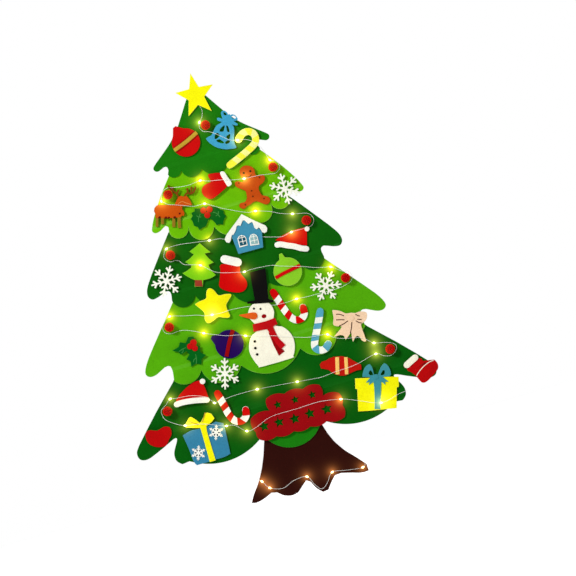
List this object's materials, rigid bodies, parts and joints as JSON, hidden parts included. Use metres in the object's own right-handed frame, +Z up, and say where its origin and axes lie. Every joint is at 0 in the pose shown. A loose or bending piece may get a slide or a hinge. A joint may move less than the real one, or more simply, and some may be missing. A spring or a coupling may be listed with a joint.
{
  "type": "felt christmas tree wall decoration",
  "caption": "Flat felt Christmas tree that hangs on a wall, with layered green tiers, a brown trunk, stick-on felt ornaments, yarn pompoms and a string of fairy lights.",
  "frame": {"origin": "the top of the hanging loop's eye, in the plane of the felt's back", "axes": "+Z up, the front of the tree faces -Y, +X to the right seen from the front"},
  "size_m": [0.7125, 0.0335, 0.9972],
  "materials": {
    "felt_mid_green": "matte felt",
    "felt_light_green": "matte felt",
    "felt_dark_green": "matte felt",
    "felt_grass_green": "matte felt",
    "felt_deep_green": "matte felt",
    "felt_brown": "matte felt",
    "felt_red": "matte felt",
    "felt_cream": "matte felt",
    "felt_yellow": "matte felt",
    "felt_pale_yellow": "matte felt",
    "felt_blue": "matte felt",
    "felt_sky_blue": "matte felt",
    "felt_ginger": "matte felt",
    "felt_tan": "matte felt",
    "felt_leaf": "matte felt",
    "felt_lime": "matte felt",
    "felt_peach": "matte felt",
    "felt_purple": "matte felt",
    "felt_black": "matte felt",
    "yarn_red": "fluffy yarn",
    "loop_cord": "twisted cotton cord",
    "light_wire": "thin silver wire with clear lamps",
    "case_plastic": "moulded",
    "switch_plastic": "moulded",
    "cell_steel": "bright"
  },
  "bodies": {
    "tree": {"tier_1": "felt_mid_green", "tier_2": "felt_light_green", "tier_3": "felt_dark_green", "tier_4": "felt_grass_green", "tier_5": "felt_deep_green", "hem_scallop": "felt_mid_green", "trunk": "felt_brown", "hanging_loop": "loop_cord", "light_string": "light_wire", "battery_case": "case_plastic", "coin_cell_1": "cell_steel", "coin_cell_2": "cell_steel", "pompom_1": "yarn_red", "pompom_2": "yarn_red", "pompom_3": "yarn_red", "pompom_4": "yarn_red", "pompom_5": "yarn_red", "pompom_6": "yarn_red", "pompom_7": "yarn_red", "pompom_8": "yarn_red", "pompom_9": "yarn_red"},
    "top_star_piece": {"top_star": "felt_yellow"},
    "red_bauble_piece": {"red_bauble": "felt_red"},
    "blue_bell_piece": {"blue_bell": "felt_sky_blue"},
    "yellow_cane_piece": {"yellow_cane": "felt_pale_yellow"},
    "red_mitten_piece": {"red_mitten": "felt_red"},
    "gingerbread_figure_piece": {"gingerbread_figure": "felt_ginger"},
    "snowflake_1_piece": {"snowflake_1": "felt_cream"},
    "snowflake_2_piece": {"snowflake_2": "felt_cream"},
    "snowflake_3_piece": {"snowflake_3": "felt_cream"},
    "snowflake_4_piece": {"snowflake_4": "felt_cream"},
    "reindeer_piece": {"reindeer": "felt_tan"},
    "holly_sprig_1_piece": {"holly_sprig_1": "felt_leaf"},
    "holly_sprig_2_piece": {"holly_sprig_2": "felt_leaf"},
    "little_tree_piece": {"little_tree": "felt_lime"},
    "snow_house_piece": {"snow_house": "felt_blue", "snow_roof": "felt_cream"},
    "pointed_hat_1_piece": {"pointed_hat_1": "felt_red"},
    "pointed_hat_2_piece": {"pointed_hat_2": "felt_red"},
    "stocking_piece": {"stocking": "felt_red"},
    "green_bauble_piece": {"green_bauble": "felt_lime"},
    "snowman_piece": {"snowman": "felt_cream", "top_hat": "felt_black", "scarf": "felt_red"},
    "red_cane_1_piece": {"red_cane_1": "felt_red"},
    "red_cane_2_piece": {"red_cane_2": "felt_red"},
    "blue_cane_piece": {"blue_cane": "felt_sky_blue"},
    "bow_piece": {"bow": "felt_peach"},
    "yellow_star_piece": {"yellow_star": "felt_yellow"},
    "purple_bauble_piece": {"purple_bauble": "felt_purple"},
    "low_mitten_piece": {"low_mitten": "felt_red"},
    "blue_gift_piece": {"blue_gift": "felt_blue", "yellow_ribbon": "felt_yellow"},
    "yellow_gift_piece": {"yellow_gift": "felt_yellow", "blue_ribbon": "felt_sky_blue"},
    "red_banner_piece": {"red_banner": "felt_red"},
    "wrapped_sweet_piece": {"wrapped_sweet": "felt_red"},
    "boot_piece": {"boot": "felt_red"},
    "lid": {"battery_lid": "case_plastic"},
    "switch": {"power_switch": "switch_plastic"}
  },
  "joints": [
    {"name": "top_star_pulls_off", "type": "slide", "parent": "tree", "child": "top_star_piece", "axis": [0, -1, 0], "range_m": [0, 0.04]},
    {"name": "red_bauble_pulls_off", "type": "slide", "parent": "tree", "child": "red_bauble_piece", "axis": [0, -1, 0], "range_m": [0, 0.04]},
    {"name": "blue_bell_pulls_off", "type": "slide", "parent": "tree", "child": "blue_bell_piece", "axis": [0, -1, 0], "range_m": [0, 0.04], "deforming": ["light_string"]},
    {"name": "yellow_cane_pulls_off", "type": "slide", "parent": "tree", "child": "yellow_cane_piece", "axis": [0, -1, 0], "range_m": [0, 0.04], "deforming": ["light_string"]},
    {"name": "red_mitten_pulls_off", "type": "slide", "parent": "tree", "child": "red_mitten_piece", "axis": [0, -1, 0], "range_m": [0, 0.04], "deforming": ["light_string"]},
    {"name": "gingerbread_figure_pulls_off", "type": "slide", "parent": "tree", "child": "gingerbread_figure_piece", "axis": [0, -1, 0], "range_m": [0, 0.04], "deforming": ["light_string"]},
    {"name": "snowflake_1_pulls_off", "type": "slide", "parent": "tree", "child": "snowflake_1_piece", "axis": [0, -1, 0], "range_m": [0, 0.04]},
    {"name": "snowflake_2_pulls_off", "type": "slide", "parent": "tree", "child": "snowflake_2_piece", "axis": [0, -1, 0], "range_m": [0, 0.04]},
    {"name": "snowflake_3_pulls_off", "type": "slide", "parent": "tree", "child": "snowflake_3_piece", "axis": [0, -1, 0], "range_m": [0, 0.04], "deforming": ["light_string"]},
    {"name": "snowflake_4_pulls_off", "type": "slide", "parent": "tree", "child": "snowflake_4_piece", "axis": [0, -1, 0], "range_m": [0, 0.04]},
    {"name": "reindeer_pulls_off", "type": "slide", "parent": "tree", "child": "reindeer_piece", "axis": [0, -1, 0], "range_m": [0, 0.04], "deforming": ["light_string"]},
    {"name": "holly_sprig_1_pulls_off", "type": "slide", "parent": "tree", "child": "holly_sprig_1_piece", "axis": [0, -1, 0], "range_m": [0, 0.04]},
    {"name": "holly_sprig_2_pulls_off", "type": "slide", "parent": "tree", "child": "holly_sprig_2_piece", "axis": [0, -1, 0], "range_m": [0, 0.04]},
    {"name": "little_tree_pulls_off", "type": "slide", "parent": "tree", "child": "little_tree_piece", "axis": [0, -1, 0], "range_m": [0, 0.04], "deforming": ["light_string"]},
    {"name": "snow_house_pulls_off", "type": "slide", "parent": "tree", "child": "snow_house_piece", "axis": [0, -1, 0], "range_m": [0, 0.04]},
    {"name": "pointed_hat_1_pulls_off", "type": "slide", "parent": "tree", "child": "pointed_hat_1_piece", "axis": [0, -1, 0], "range_m": [0, 0.04], "deforming": ["light_string"]},
    {"name": "pointed_hat_2_pulls_off", "type": "slide", "parent": "tree", "child": "pointed_hat_2_piece", "axis": [0, -1, 0], "range_m": [0, 0.04], "deforming": ["light_string"]},
    {"name": "stocking_pulls_off", "type": "slide", "parent": "tree", "child": "stocking_piece", "axis": [0, -1, 0], "range_m": [0, 0.04], "deforming": ["light_string"]},
    {"name": "green_bauble_pulls_off", "type": "slide", "parent": "tree", "child": "green_bauble_piece", "axis": [0, -1, 0], "range_m": [0, 0.04], "deforming": ["light_string"]},
    {"name": "snowman_pulls_off", "type": "slide", "parent": "tree", "child": "snowman_piece", "axis": [0, -1, 0], "range_m": [0, 0.04], "deforming": ["light_string"]},
    {"name": "red_cane_1_pulls_off", "type": "slide", "parent": "tree", "child": "red_cane_1_piece", "axis": [0, -1, 0], "range_m": [0, 0.04], "deforming": ["light_string"]},
    {"name": "red_cane_2_pulls_off", "type": "slide", "parent": "tree", "child": "red_cane_2_piece", "axis": [0, -1, 0], "range_m": [0, 0.04], "deforming": ["light_string"]},
    {"name": "blue_cane_pulls_off", "type": "slide", "parent": "tree", "child": "blue_cane_piece", "axis": [0, -1, 0], "range_m": [0, 0.04], "deforming": ["light_string"]},
    {"name": "bow_pulls_off", "type": "slide", "parent": "tree", "child": "bow_piece", "axis": [0, -1, 0], "range_m": [0, 0.04], "deforming": ["light_string"]},
    {"name": "yellow_star_pulls_off", "type": "slide", "parent": "tree", "child": "yellow_star_piece", "axis": [0, -1, 0], "range_m": [0, 0.04], "deforming": ["light_string"]},
    {"name": "purple_bauble_pulls_off", "type": "slide", "parent": "tree", "child": "purple_bauble_piece", "axis": [0, -1, 0], "range_m": [0, 0.04], "deforming": ["light_string"]},
    {"name": "low_mitten_pulls_off", "type": "slide", "parent": "tree", "child": "low_mitten_piece", "axis": [0, -1, 0], "range_m": [0, 0.04]},
    {"name": "blue_gift_pulls_off", "type": "slide", "parent": "tree", "child": "blue_gift_piece", "axis": [0, -1, 0], "range_m": [0, 0.04], "deforming": ["light_string"]},
    {"name": "yellow_gift_pulls_off", "type": "slide", "parent": "tree", "child": "yellow_gift_piece", "axis": [0, -1, 0], "range_m": [0, 0.04], "deforming": ["light_string"]},
    {"name": "red_banner_pulls_off", "type": "slide", "parent": "tree", "child": "red_banner_piece", "axis": [0, -1, 0], "range_m": [0, 0.04], "deforming": ["light_string"]},
    {"name": "wrapped_sweet_pulls_off", "type": "slide", "parent": "tree", "child": "wrapped_sweet_piece", "axis": [0, -1, 0], "range_m": [0, 0.04], "deforming": ["light_string"]},
    {"name": "boot_pulls_off", "type": "slide", "parent": "tree", "child": "boot_piece", "axis": [0, -1, 0], "range_m": [0, 0.04]},
    {"name": "battery_lid_slides", "type": "slide", "parent": "tree", "child": "lid", "axis": [1, 0, 0], "range_m": [0, 0.05]},
    {"name": "power_switch_slides", "type": "slide", "parent": "tree", "child": "switch", "axis": [1, 0, 0], "range_m": [0, 0.003]}
  ]
}
